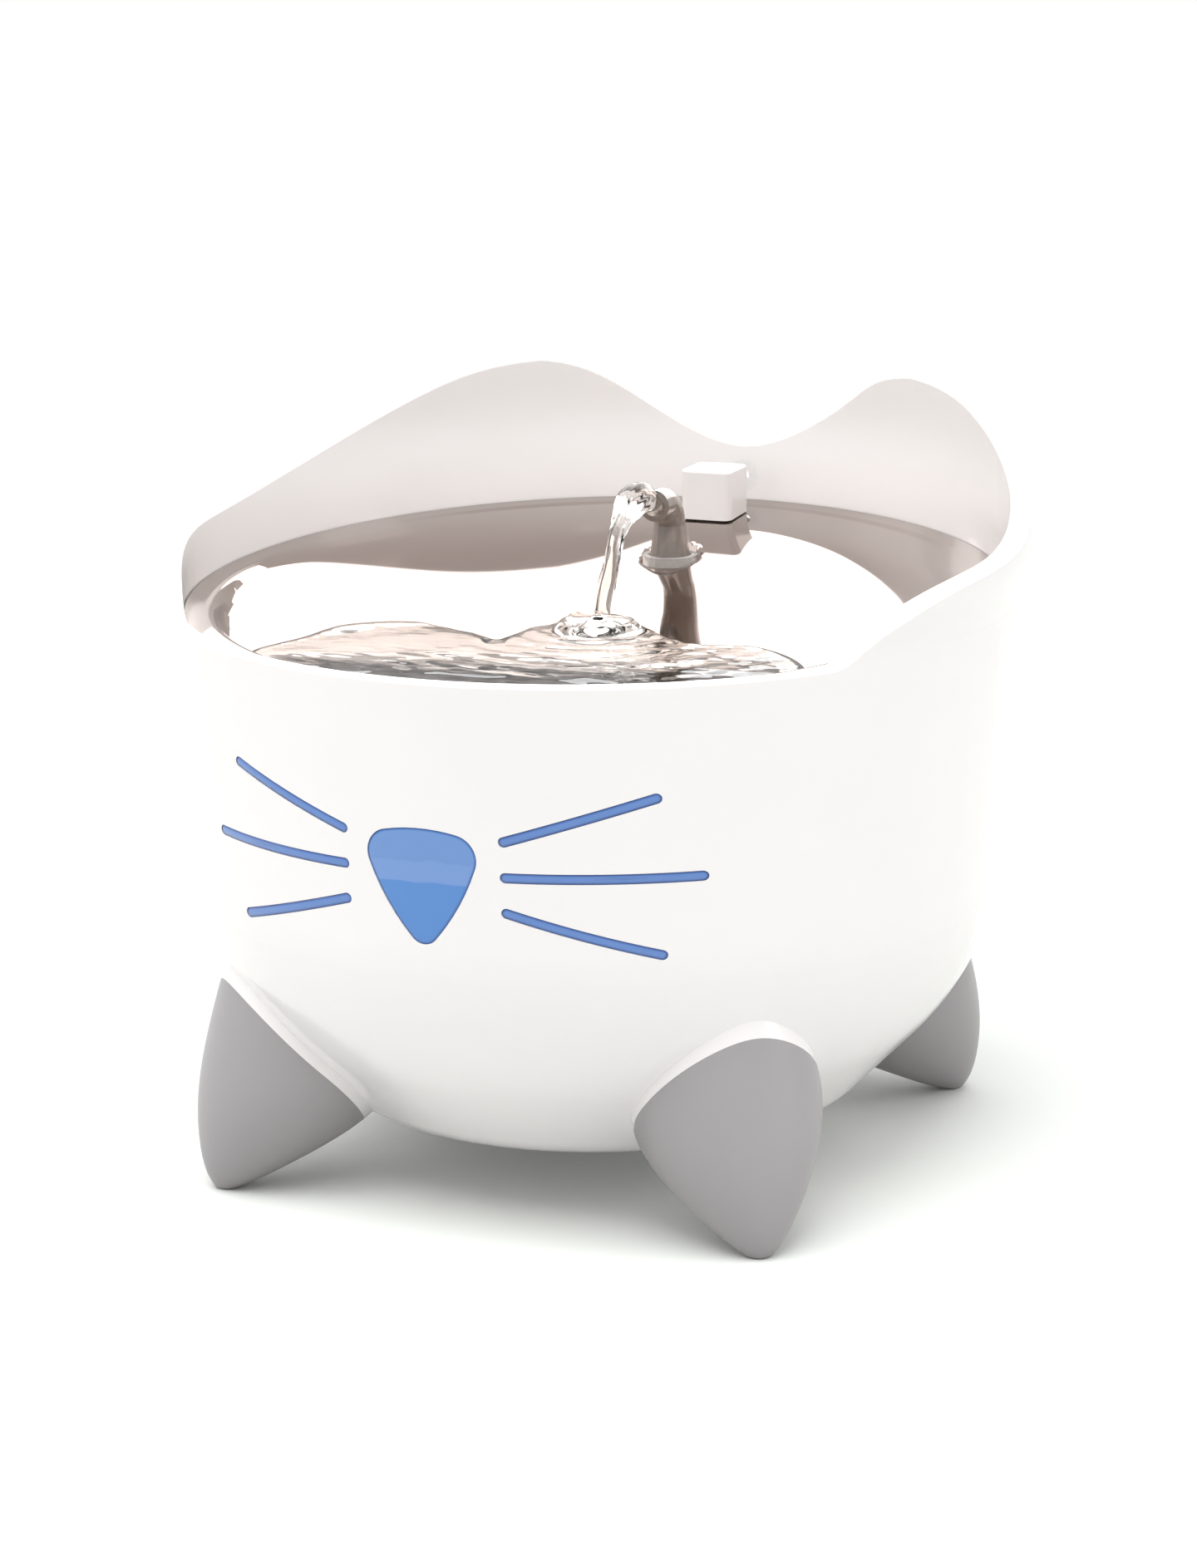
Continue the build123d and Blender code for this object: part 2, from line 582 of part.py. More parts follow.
cups = []
for sx in (-1, 1):
    for sy in (-1, 1):
        place = Pos(sx * cup_place, pump_y + sy * cup_place, tray_floor_z + cup_h / 2)
        cups.append(place * Cone(cup_r, cup_top_r, cup_h))
save("suction_cups", Compound(children=cups))
save("pump_base", cyl(pump_r, pump_low_z, housing_low_z, pump_at))

tower = cyl(tower_r, chamber_low_z - cover_plate_t, plate_top_z, spout_at)
pump_housing = cyl(pump_r, housing_low_z, housing_top_z, pump_at) + tower
pump_housing += cyl(spigot_r, housing_top_z, plate_top_z + spigot_h, spout_at)
pump_housing -= cyl(chamber_r, chamber_low_z, plate_top_z + PAST, pump_at)
pump_housing -= cyl(can_r, can_low_z, housing_top_z, pump_at)
pump_housing -= ring(
    coil_room_out_r, coil_room_in_r, housing_low_z - PAST, housing_low_z + coil_room_h, pump_at)
bush_low_z = can_low_z - bush_h + end_gap / 2
pump_housing -= cyl(bush_r, bush_low_z, can_low_z + PAST, pump_at)
duct_z = (chamber_low_z + housing_top_z) / 2
pump_housing -= cyl(duct_r, duct_z, plate_top_z + spigot_h + PAST, spout_at)
pump_housing -= across(duct_r, pump_y + chamber_r - duct_r, spout_y, duct_z)
lens_front_y = pump_y - pump_r - lens_out
lens_back_y = pump_y - pump_r + lens_in
lens = across(lens_r, lens_front_y, lens_back_y, lens_z)
pump_housing -= lens
gland_in_x = coil_room_out_r + end_gap / 2
gland_l = pump_r + gland_out - gland_in_x
gland_frame = Pos(-gland_in_x - gland_l / 2, pump_y, gland_z) * Rot(0, 90, 0)
gland = gland_frame * Cylinder(gland_r, gland_l)
pump_housing -= gland
save("pump_housing", pump_housing)
save("pump_lead_gland", gland - gland_frame * Cylinder(cable_bore_r, gland_l + PAST))
save("led_lens", fillet(lens.edges().sort_by(Axis.Y)[0], lens_round))
save("stator_coil", ring(
    coil_out_r, coil_in_r, housing_low_z, housing_low_z + coil_h, pump_at))

boss_low_z = housing_top_z - bush_h / 2
pump_cover = cyl(pump_r, housing_top_z, plate_top_z, pump_at)
pump_cover += cyl(bush_boss_r, boss_low_z, plate_top_z, pump_at)
locator_r = strainer_r - strainer_wall - swivel_gap
pump_cover += ring(
    locator_r, locator_r - strainer_wall, plate_top_z, plate_top_z + locator_h, pump_at)
pump_cover -= tower
pump_cover -= cyl(bush_r, boss_low_z - PAST, boss_low_z + bush_h, pump_at)
for i in range(intake_holes):
    turn = radians(360 / intake_holes * i - 90)
    hole_at = (intake_place * cos(turn), pump_y + intake_place * sin(turn))
    pump_cover -= cyl(intake_r, housing_top_z - PAST, plate_top_z + PAST, hole_at)
save("pump_cover", pump_cover)

shaft_low_z, shaft_top_z = bush_low_z, boss_low_z + bush_h
save("rotor_shaft", cyl(shaft_r, shaft_low_z, shaft_top_z, pump_at))
save("shaft_bush_lower", ring(bush_r, shaft_r, bush_low_z, bush_low_z + bush_h, pump_at))
save("shaft_bush_upper", ring(bush_r, shaft_r, boss_low_z, boss_low_z + bush_h, pump_at))

rotor_bore_r = shaft_r + shaft_gap
magnet_low_z = bush_low_z + bush_h + end_gap
wheel_low_z = chamber_low_z + end_gap
wheel_top_z = boss_low_z - end_gap
save("rotor_magnet", ring(magnet_r, rotor_bore_r, magnet_low_z, wheel_low_z, pump_at))
impeller = cyl(wheel_r, wheel_low_z, wheel_low_z + wheel_t, pump_at)
impeller += cyl(hub_r, wheel_low_z, wheel_top_z, pump_at)
for i in range(blades):
    blade = block(0, wheel_r, -blade_t / 2, blade_t / 2, wheel_low_z, wheel_top_z)
    impeller += Pos(0, pump_y) * Rot(0, 0, 360 / blades * i) * blade
save("impeller", impeller - cyl(rotor_bore_r, 0, FAR, pump_at))

save("riser_tube", ring(riser_r, spigot_r, plate_top_z, riser_top_z, spout_at))

# strainer cap over the pump's intake, with the flow dial on top
cap_top_z = plate_top_z + strainer_h
strainer = cyl(strainer_r, plate_top_z, cap_top_z, pump_at)
strainer = fillet(strainer.edges().group_by(Axis.Z)[-1], strainer_wall)
strainer -= cyl(
    strainer_r - strainer_wall, plate_top_z - PAST, cap_top_z - strainer_wall, pump_at)
slot_low_z = plate_top_z + locator_h + swivel_gap
for i in range(strainer_slots):
    slot = block(
        strainer_r / 2, strainer_r + PAST, -strainer_slot_w / 2, strainer_slot_w / 2,
        slot_low_z, slot_low_z + strainer_slot_h)
    strainer -= Pos(0, pump_y) * Rot(0, 0, 360 / strainer_slots * (i + 0.5)) * slot
pin_top_z = cap_top_z + dial_gap + dial_t
strainer += cyl(dial_pin_r, cap_top_z - strainer_wall, pin_top_z, pump_at)
dial_low_z = cap_top_z + dial_gap
dial = cyl(dial_r, dial_low_z, dial_low_z + dial_t, pump_at)
knob = block(
    dial_pin_r + knob_w / 2, knob_l / 2, -knob_w / 2, knob_w / 2,
    dial_low_z, dial_low_z + dial_t + knob_h)
for i in range(dial_windows):
    turn = 360 / dial_windows * (i + 0.5)
    window_at = (
        dial_window_place * cos(radians(turn)), pump_y + dial_window_place * sin(radians(turn)))
    strainer -= cyl(dial_window_r, cap_top_z - 2 * strainer_wall, cap_top_z + PAST, window_at)
    dial -= cyl(dial_window_r, 0, FAR, window_at)
for turn in (0, 180):
    dial += Pos(0, pump_y) * Rot(0, 0, turn) * knob
dial -= cyl(dial_pin_r + dial_pin_gap, 0, FAR, pump_at)
save("pump_strainer", strainer)
save("flow_dial", dial)
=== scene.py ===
from math import cos, exp, hypot, pi, radians, sin, sqrt, tan

import bmesh
import bpy
from mathutils import Matrix, Vector, noise


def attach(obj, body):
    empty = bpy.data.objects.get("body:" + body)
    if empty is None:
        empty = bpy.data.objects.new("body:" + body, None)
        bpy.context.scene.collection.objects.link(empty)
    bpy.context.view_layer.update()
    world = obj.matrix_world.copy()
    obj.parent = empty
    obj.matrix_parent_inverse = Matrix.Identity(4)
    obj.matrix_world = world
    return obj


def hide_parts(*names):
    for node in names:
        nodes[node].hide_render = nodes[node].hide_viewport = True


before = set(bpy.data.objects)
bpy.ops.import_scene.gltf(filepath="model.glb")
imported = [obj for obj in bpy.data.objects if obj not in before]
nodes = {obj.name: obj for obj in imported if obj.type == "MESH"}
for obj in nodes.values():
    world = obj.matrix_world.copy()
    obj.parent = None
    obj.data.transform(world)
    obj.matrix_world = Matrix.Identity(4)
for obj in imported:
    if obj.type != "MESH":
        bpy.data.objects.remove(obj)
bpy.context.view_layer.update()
scene = bpy.context.scene
scene.view_settings.view_transform = "Standard"

# ------------------------------------------------------------------ camera
# A long lens at a kneeling owner's height, a little to the fountain's right-hand side,
# aimed at the middle of the reservoir.
camera_azimuth = radians(23.25)
camera_elevation = radians(13.69)
camera_roll = radians(-0.744)
camera_distance = 1.2856
camera_target = Vector((0.0006, 0.0003, 0.1066))
camera_lens = 101.8
sensor = 36.0

away = Vector((
    sin(camera_azimuth) * cos(camera_elevation),
    -cos(camera_azimuth) * cos(camera_elevation),
    sin(camera_elevation)))
level = Vector((cos(camera_azimuth), sin(camera_azimuth), 0))
rise = away.cross(level)
right = cos(camera_roll) * level + sin(camera_roll) * rise
up = cos(camera_roll) * rise - sin(camera_roll) * level
lens = bpy.data.cameras.new("camera")
lens.sensor_fit = "VERTICAL"
lens.sensor_height = sensor
lens.lens = camera_lens
lens.clip_end = 40
camera = bpy.data.objects.new("camera", lens)
camera.matrix_world = Matrix.Translation(camera_target + camera_distance * away) @ Matrix(
    (right, up, away)).transposed().to_4x4()
scene.collection.objects.link(camera)
scene.camera = camera


# ------------------------------------------------------------------ studio
# A pale floor that fades to white, a dim white room, a wide softbox overhead and one high in front,
# two at the sides that draw the highlights, and a reflector behind that only the steel mirrors.
class Value:
    """A number or colour that varies over a surface. Arithmetic on it adds Math nodes."""

    def __init__(self, tree, socket):
        self.tree, self.socket = tree, socket

    def math(self, operation, *terms):
        return self.tree.node("ShaderNodeMath", {"operation": operation}, dict(enumerate(terms)))

    def __add__(self, other):
        return self.math("ADD", self, other)

    def __sub__(self, other):
        return self.math("SUBTRACT", self, other)

    def __mul__(self, other):
        return self.math("MULTIPLY", self, other)

    __radd__ = __add__
    __rmul__ = __mul__

    def root(self):
        return self.math("SQRT", self)

    def step(self, low, high):
        """0 below low, 1 above high, smooth between them."""
        return self.tree.node(
            "ShaderNodeMapRange", {"interpolation_type": "SMOOTHSTEP"},
            {"Value": self, "From Min": low, "From Max": high})


class Tree:
    """A shader's node tree, filled one node at a time."""

    def __init__(self, tree):
        self.tree = tree

    def plug(self, socket, value):
        if isinstance(value, Value):
            self.tree.links.new(value.socket, socket)
        else:
            socket.default_value = value

    def node(self, kind, settings=None, inputs=None, output=0):
        """Adds a node: its settings first, then what goes into its sockets; gives one output."""
        made = self.tree.nodes.new(kind)
        for key, value in (settings or {}).items():
            setattr(made, key, value)
        for key, value in (inputs or {}).items():
            self.plug(made.inputs[key], value)
        return Value(self, made.outputs[output])

    def looking(self):
        """1 for rays that the camera sends, also by way of a mirror or a clear piece; 0 for others."""
        kinds = [self.node("ShaderNodeLightPath", output=f"Is {kind} Ray")
                 for kind in ("Camera", "Glossy", "Transmission")]
        return kinds[0].math("MAXIMUM", kinds[0].math("MAXIMUM", kinds[0], kinds[1]), kinds[2])

    def mix(self, share, one, other):
        """Colour between one and other."""
        return self.node(
            "ShaderNodeMix", {"data_type": "RGBA"},
            {0: share, 6: (*one, 1) if isinstance(one, tuple) else one,
             7: (*other, 1) if isinstance(other, tuple) else other}, 2)

    def place(self):
        """Position on the piece, in metres."""
        return self.node("ShaderNodeTexCoord", output="Object")

    def speckle(self, size, detail=2.0, stretch=(1, 1, 1)):
        """Noise whose spots are about this many metres across."""
        at = self.node("ShaderNodeMapping", None, {"Vector": self.place(), "Scale": stretch})
        return self.node(
            "ShaderNodeTexNoise", None, {"Vector": at, "Scale": 1 / size, "Detail": detail})


class Finish(Tree):
    """A material. Sockets of its shader are given by name."""

    def __init__(self, name, sockets):
        self.material = bpy.data.materials.new(name)
        self.material.use_nodes = True
        super().__init__(self.material.node_tree)
        self.shader = self.tree.nodes["Principled BSDF"]
        self.set(sockets)

    def set(self, sockets):
        for key, value in sockets.items():
            if key == "Base Color" and isinstance(value, tuple):
                value = (*value, 1)
            self.plug(self.shader.inputs[key], value)

    def relief(self, height, depth):
        """Fine relief this many metres deep where height goes from 0 to 1."""
        bump = self.node("ShaderNodeBump", None, {"Strength": 1.0, "Distance": depth, "Height": height})
        self.set({"Normal": bump})


room_light = 0.62
room = bpy.data.worlds.new("room")
room.use_nodes = True
scene.world = room
walls = Tree(room.node_tree)
background = room.node_tree.nodes["Background"]
background.inputs["Color"].default_value = (1, 1, 1, 1)
walls.plug(background.inputs["Strength"], room_light + (1 - room_light) * walls.looking())

floor_half = 14.0
floor_near, floor_far = 0.45, 1.5      # where the floor's paint starts and ends to fade to plain white
floor_lit = (0.66, 0.67, 0.66)         # colour of the light that the floor throws on the fountain
floor_seen = (0.93, 0.95, 0.92)
floor_mesh = bpy.data.meshes.new("floor")
floor_mesh.from_pydata(
    [(-floor_half, -floor_half, 0), (floor_half, -floor_half, 0),
     (floor_half, floor_half, 0), (-floor_half, floor_half, 0)], [], [(0, 1, 2, 3)])
floor = bpy.data.objects.new("floor", floor_mesh)
scene.collection.objects.link(floor)
floor_paint = Finish("floor paint", {"Roughness": 0.9})
seen = floor_paint.looking()
floor_paint.set({"Base Color": floor_paint.mix(seen, floor_lit, floor_seen)})
out = floor_paint.node(
    "ShaderNodeVectorMath", {"operation": "LENGTH"}, {0: floor_paint.place()}, "Value")
plain_white = floor_paint.node(
    "ShaderNodeEmission", None, {"Color": (1, 1, 1, 1), "Strength": 1.0})
faded = floor_paint.node("ShaderNodeMixShader", None, {
    0: seen * out.step(floor_near, floor_far),
    1: Value(floor_paint, floor_paint.shader.outputs[0]),
    2: plain_white})
floor_paint.plug(floor_paint.tree.nodes["Material Output"].inputs["Surface"], faded)
floor_mesh.materials.append(floor_paint.material)


def softbox(name, azimuth, elevation, distance, width, height, brightness, mirrored_only=False):
    """A rectangular lamp that faces the fountain; brightness is what a mirror would show of it."""
    box = bpy.data.lights.new(name, "AREA")
    box.shape = "RECTANGLE"
    box.size, box.size_y = width, height
    box.energy = brightness * pi * width * height
    lamp = bpy.data.objects.new(name, box)
    lamp.visible_camera = False
    lamp.visible_diffuse = not mirrored_only
    a, e = radians(azimuth), radians(elevation)
    outward = Vector((sin(a) * cos(e), -cos(a) * cos(e), sin(e)))
    lamp.location = camera_target + distance * outward
    lamp.rotation_euler = outward.to_track_quat("Z", "Y").to_euler()
    scene.collection.objects.link(lamp)


# name, azimuth, elevation, distance, width, height, brightness
softbox("overhead softbox", 0, 90, 1.6, 1.7, 1.7, 0.7)
softbox("key softbox", -10, 68, 2.0, 2.0, 1.6, 3.2)
softbox("left softbox", -78, 26, 2.2, 1.0, 1.4, 1.1)
softbox("right softbox", 98, 24, 2.2, 1.0, 1.5, 1.9)
softbox("rear reflector", 204, 28, 2.6, 5.2, 2.5, 2.5, mirrored_only=True)


# ------------------------------------------------------------------ reservoir and splash guard
# One injection moulding in glossy white plastic, with the ears, the ledge for the dish and
# the shoulders over the feet. It is polished outside, with the faint waviness of a thick wall.
def dress(finish, *names):
    """Gives CAD pieces their finish."""
    for name in names:
        nodes[name].material_slots[0].material = finish.material


def moulded(name, color, roughness, tint=0.02, waviness=0.00002, extra=None):
    """Moulded plastic: nearly even colour, a slightly wavy skin and uneven gloss."""
    plastic = Finish(name, {"Roughness": roughness, **(extra or {})})
    patches = plastic.speckle(0.03, 3.0)
    deeper = tuple(channel * (1 - tint) for channel in color)
    plastic.set({
        "Base Color": plastic.mix(patches, color, deeper),
        "Roughness": roughness + 0.06 * (plastic.speckle(0.004) - 0.5)})
    plastic.relief(plastic.speckle(0.012, 1.0), waviness)
    return plastic


white_plastic = moulded(
    "white gloss plastic", (0.93, 0.905, 0.895), 0.2, extra={"Coat Weight": 0.4, "Coat Roughness": 0.06})
dress(
    white_plastic, "reservoir_floor", "reservoir_flank", "reservoir_wall", "splash_guard", "cable_cover")

# ------------------------------------------------------------------ feet
# Four pointed feet moulded in satin grey, each held from below by one screw into the reservoir's
# boss, with a round rubber pad let into its tip.
corners = ("front_right", "front_left", "rear_right", "rear_left")
foot_grey = moulded("satin grey plastic", (0.36, 0.345, 0.35), 0.42, tint=0.05)
dress(foot_grey, *(f"foot_{corner}" for corner in corners))


def rubber(name, color, roughness=0.75):
    """Soft rubber or silicone: dull, with a fine powdery grain."""
    soft = Finish(name, {"Roughness": roughness, "Specular IOR Level": 0.35})
    grain = soft.speckle(0.0006, 4.0)
    soft.set({"Base Color": soft.mix(grain, color, tuple(channel * 0.85 for channel in color))})
    soft.relief(grain, 0.00004)
    return soft


dress(rubber("dark pad rubber", (0.13, 0.13, 0.13)), *(f"foot_pad_{corner}" for corner in corners))
zinc = Finish("zinc-plated steel", {"Metallic": 1.0, "Roughness": 0.32})
zinc.set({"Base Color": zinc.mix(zinc.speckle(0.002), (0.62, 0.62, 0.64), (0.5, 0.51, 0.54))})
dress(zinc, "foot_screws")

# ------------------------------------------------------------------ nose window and whiskers
# Pieces of clear blue plastic pushed through the front wall from inside, flush with it, with a
# small step round their edges. The nose is the window on the water level.
rim_radius, rim_height = 0.1224, 0.163
low_radius, low_height = 0.1156, 0.0604
wall_lean = (rim_radius - low_radius) / (rim_height - low_height)
window_line = 0.107           # height of the water line in the window
second_line_up, line_soft, line_wave = 0.0059, 0.0003, 0.0022
window_spacing, window_rings = 0.0006, 12
whisker_spacing, whisker_rings = 0.0005, 1
inlay_steps = (               # distance in from the edge, depth under the wall's skin
    (0.0, 0.0028), (0.0, 0.00045), (0.0002, 0.00025), (0.00055, 0.00012), (0.0009, 0.00005),
    (0.0012, 0.00003))
same_point = 1e-6
same_face = 0.8               # cosine of the bend between faces that belong to one side


def out_of_wall(at):
    """How far out a place lies, measured square to the front wall's lean."""
    return hypot(*at.xy) - at.z * wall_lean


def front_edge(name):
    """The outline of a CAD piece's front face, in order, read from a merged copy of its mesh."""
    work = bmesh.new()
    work.from_mesh(nodes[name].data)
    bmesh.ops.remove_doubles(work, verts=work.verts, dist=same_point)
    work.normal_update()
    front = max(work.faces, key=lambda face: out_of_wall(face.calc_center_median()))
    found, queue = {front}, [front]
    while queue:
        face = queue.pop()
        for edge in face.edges:
            for other in edge.link_faces:
                if other not in found and face.normal.dot(other.normal) > same_face:
                    found.add(other)
                    queue.append(other)
    rim = [e for f in found for e in f.edges if sum(g in found for g in e.link_faces) == 1]
    ahead = rim[0].verts[0]
    loop = []
    while rim:
        edge = next(e for e in rim if ahead in e.verts)
        rim.remove(edge)
        loop.append(ahead.co.copy())
        ahead = edge.other_vert(ahead)
    work.free()
    return loop


def even(points, count):
    """The same closed outline with points a fixed distance apart."""
    ring = points + points[:1]
    lengths = [(b - a).length for a, b in zip(ring, ring[1:])]
    total = sum(lengths)
    out, i, done = [], 0, 0.0
    for k in range(count):
        want = total * k / count
        while done + lengths[i] < want:
            done += lengths[i]
            i += 1
        out.append(ring[i].lerp(ring[i + 1], (want - done) / lengths[i]))
    return out


def wall_point(x, z, depth):
    """Point on the front wall, a depth under its outer surface."""
    radius = rim_radius - (rim_height - z) * wall_lean - depth
    return Vector((x, -sqrt(radius**2 - x**2), z))


def mesh_piece(name, work, finish, body):
    """Makes a finished mesh a piece of the object that moves with a body."""
    bmesh.ops.recalc_face_normals(work, faces=work.faces)
    mesh = bpy.data.meshes.new(name)
    work.to_mesh(mesh)
    work.free()
    mesh.shade_smooth()
    mesh.materials.append(finish.material)
    piece = bpy.data.objects.new(name, mesh)
    scene.collection.objects.link(piece)
    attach(piece, body)
    return piece


def stitch(work, lower, upper):
    """Faces between two rings of vertices."""
    for i in range(len(lower)):
        j = (i + 1) % len(lower)
        work.faces.new((lower[i], lower[j], upper[j], upper[i]))


def inlay(name, finish, spacing, inner_rings):
    """A clear piece with a stepped edge that fills a CAD piece's place in the front wall."""
    edge = front_edge(name)
    length = sum((b - a).length for a, b in zip(edge, edge[1:] + edge[:1]))
    flat = even([Vector((p.x, p.z)) for p in edge], int(length / spacing))
    area = sum(a.cross(b) for a, b in zip(flat, flat[1:] + flat[:1])) / 2
    middle = sum(flat, Vector((0, 0))) / len(flat)
    inward = []
    for i, p in enumerate(flat):
        along = (flat[(i + 1) % len(flat)] - flat[i - 1]).normalized()
        inward.append(Vector((-along.y, along.x)) * (1 if area > 0 else -1))
    work = bmesh.new()
    share = work.verts.layers.float.new("edge")
    rings = []
    for distance, depth in inlay_steps:
        ring = []
        for p, n in zip(flat, inward):
            q = p + n * distance
            vert = work.verts.new(wall_point(q.x, q.y, depth))
            vert[share] = 1 - distance / inlay_steps[-1][0]
            ring.append(vert)
        rings.append(ring)
    for k in range(1, inner_rings):
        ring = []
        for vert in rings[len(inlay_steps) - 1]:
            q = Vector((vert.co.x, vert.co.z)).lerp(middle, k / inner_rings)
            ring.append(work.verts.new(wall_point(q.x, q.y, inlay_steps[-1][1])))
        rings.append(ring)
    for lower, upper in zip(rings, rings[1:]):
        stitch(work, lower, upper)
    for ring in (rings[0], rings[-1]):
        ends = zip(ring, ring[1:] + ring[:1])
        edges = [work.edges.get(pair) or work.edges.new(pair) for pair in ends]
        bmesh.ops.triangle_fill(work, edges=edges, use_beauty=True)
    piece = mesh_piece("clear_" + name, work, finish, "reservoir")
    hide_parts(name)


def tinted(name, color, painted_edge_shade):
    """Clear blue plastic with painted shade round its edge, for the shadow of the wall's edge and the
    edge seen through sideways.
    """
    clear = Finish(name, {"Roughness": 0.16, "Coat Weight": 0.3, "Coat Roughness": 0.05})
    edge = clear.node("ShaderNodeAttribute", {"attribute_name": "edge"}, output="Fac")
    # The edge colour is painted shade, mixed in by the share of the edge.
    clear.set({"Base Color": clear.mix(edge.step(0.25, 0.75), color(clear), painted_edge_shade)})
    return clear


def nose_color(clear):
    """Paler above the water line, with the wave of the water's surface behind the window."""
    height = clear.node("ShaderNodeSeparateXYZ", None, {0: clear.place()}, "Z")
    wave = line_wave * (clear.speckle(0.012, 1.0, (1, 1, 0.2)) - 0.5)
    under = (height + wave).step(window_line + line_soft, window_line - line_soft)
    second = (height + 2.0 * wave).step(
        window_line + second_line_up + line_soft, window_line + second_line_up - line_soft)
    above = clear.mix(second, (0.13, 0.28, 0.62), (0.155, 0.305, 0.66))
    return clear.mix(under, above, (0.07, 0.235, 0.61))


def whisker_color(clear):
    """Even blue with a little cloudiness along the strip."""
    return clear.mix(clear.speckle(0.01), (0.115, 0.245, 0.6), (0.09, 0.21, 0.54))


# Its last colour is the painted shade round the window's edge.
window_blue = tinted("clear blue window", nose_color, (0.04, 0.14, 0.42))
inlay("nose_window", window_blue, window_spacing, window_rings)
# Its last colour is the painted shade round each whisker's edge.
whisker_blue = tinted("clear blue whisker", whisker_color, (0.05, 0.12, 0.36))
for side in ("left", "right"):
    for height in ("high", "middle", "low"):
        inlay(f"whisker_{side}_{height}", whisker_blue, whisker_spacing, whisker_rings)

# ------------------------------------------------------------------ steel dish
# Pressed from one sheet of stainless steel and polished to a mirror: a bowl that is deepest before
# the middle, a flat flange tilted forward, return slots, and two holes for the spout and the cord.
dish_tilt, dish_height, dish_radius = radians(3.18), 0.1644, 0.117
# depth of the bowl's bottom on the middle line, and how much it rises one dish radius to the side,
# at shares of that radius towards the back
bowl_down = ((-0.9, 0.0093), (-0.45, 0.019), (0.0, 0.0154), (0.45, 0.00243), (0.8, -0.0059))
bowl_side_up = ((-0.5, 0.0112), (0.0, 0.0169), (0.5, 0.0084))
dish_sizes = {
    "Radius": dish_radius, "Sheet": 0.001, "Height": dish_height, "Slope": tan(dish_tilt),
    "Bowl radius": 0.109, "Side slope": 2.0, "Rounding": 0.002,
    "Spout y": 0.058, "Seat height": 0.1612, "Seat radius": 0.0085, "Spout hole": 0.006,
    "Cord y": 0.09425, "Cord hole": 0.005,
    "Slot ring": 0.106, "Slot step": radians(12), "Slot length": 0.009, "Slot width": 0.0032}
slot_count = 7
round_sides, bar_sides, rows_of_fill, corner_steps = 360, 48, 84, 8
bar_length = 0.4
slot_low, slot_high = 0.12, 0.2
seat_step_out, seat_step_in = 0.0012, 0.0002
steel_edge = radians(35)      # bends sharper than this are seen as edges

steel = Finish("polished stainless steel", {"Base Color": (0.37, 0.31, 0.282), "Metallic": 1.0})
steel.set({"Roughness": 0.025 + 0.03 * steel.speckle(0.02, 4.0)})
steel.relief(steel.speckle(0.05, 1.0), 0.00004)

group = bpy.data.node_groups.new("pressed dish", "GeometryNodeTree")
group.interface.new_socket("Dish", in_out="OUTPUT", socket_type="NodeSocketGeometry")
dish_sockets = {
    name: group.interface.new_socket(name, in_out="INPUT", socket_type="NodeSocketFloat").identifier
    for name in dish_sizes}
press = Tree(group)
given = group.nodes.new("NodeGroupInput")
size = {name: Value(press, given.outputs[name]) for name in dish_sizes}


def through(knots, at):
    """Value at a place of the lowest curve through the knots; the place is a number or a Value."""
    total = 0.0
    for place, value in knots:
        share = value
        for other, _ in knots:
            if other != place:
                share = (at - other) * (1 / (place - other)) * share
        total = share + total
    return total


def fills(geometry, settings=None, inputs=None, kind="SetPosition"):
    """One geometry node that takes a shape and passes it on."""
    return press.node("GeometryNode" + kind, settings, {"Geometry": geometry, **(inputs or {})})


def round_punch(radius, y):
    """Upright round cutter."""
    bar = press.node("GeometryNodeMeshCylinder", None, {
        "Vertices": bar_sides, "Radius": radius, "Depth": bar_length})
    to_place = press.node("ShaderNodeCombineXYZ", None, {"Y": y})
    return fills(bar, None, {"Translation": to_place}, "Transform")


blank = press.node("GeometryNodeMeshCylinder", {"fill_type": "TRIANGLE_FAN"}, {
    "Vertices": round_sides, "Side Segments": 1, "Fill Segments": rows_of_fill,
    "Radius": size["Radius"], "Depth": size["Sheet"]})
spot = press.node("ShaderNodeSeparateXYZ", None, {0: press.node("GeometryNodeInputPosition")})
spot_x, spot_y = (Value(press, spot.socket.node.outputs[axis]) for axis in "XY")
from_axis = (spot_x * spot_x + spot_y * spot_y).root()
back_share, side_share = spot_y * (1 / dish_radius), spot_x * (1 / dish_radius)
bottom = side_share * side_share * through(bowl_side_up, back_share) - through(bowl_down, back_share)
side = (from_axis - size["Bowl radius"]) * size["Side slope"]
flange = spot_y * size["Slope"]
hollow = side.math("SMOOTH_MAX", side, bottom - flange, size["Rounding"])
hollow = hollow.math("SMOOTH_MIN", hollow, 0.0, size["Rounding"])
behind_spout = spot_y - size["Spout y"]
from_spout = (behind_spout * behind_spout + spot_x * spot_x).root()
on_seat = from_spout.step(size["Seat radius"] + seat_step_out, size["Seat radius"] - seat_step_in)
surface_height = flange + hollow + size["Height"]
surface_height = surface_height + (size["Seat height"] - surface_height) * on_seat
sunk = press.node("ShaderNodeCombineXYZ", None, {"Z": surface_height - size["Sheet"] * 0.5})
pressed = fills(blank, None, {"Offset": sunk})

turn = (press.node("GeometryNodeInputIndex") - (slot_count - 1) / 2) * size["Slot step"]
ring_place = press.node("ShaderNodeCombineXYZ", None, {
    "X": size["Slot ring"] * turn.math("SINE", turn),
    "Y": size["Slot ring"] * turn.math("COSINE", turn) * -1.0})
slot_places = press.node("GeometryNodePoints", None, {"Count": slot_count})
slot_places = fills(slot_places, None, {"Position": ring_place})
slot_outline = press.node("GeometryNodeCurvePrimitiveQuadrilateral", None, {
    "Width": size["Slot length"], "Height": size["Slot width"]})
slot_outline = press.node("GeometryNodeFilletCurve", {"mode": "POLY"}, {
    "Curve": slot_outline, "Count": corner_steps, "Radius": size["Slot width"] * 0.499,
    "Limit Radius": True})
slot_path = press.node("GeometryNodeCurvePrimitiveLine", None, {
    "Start": (0, 0, slot_low), "End": (0, 0, slot_high)})
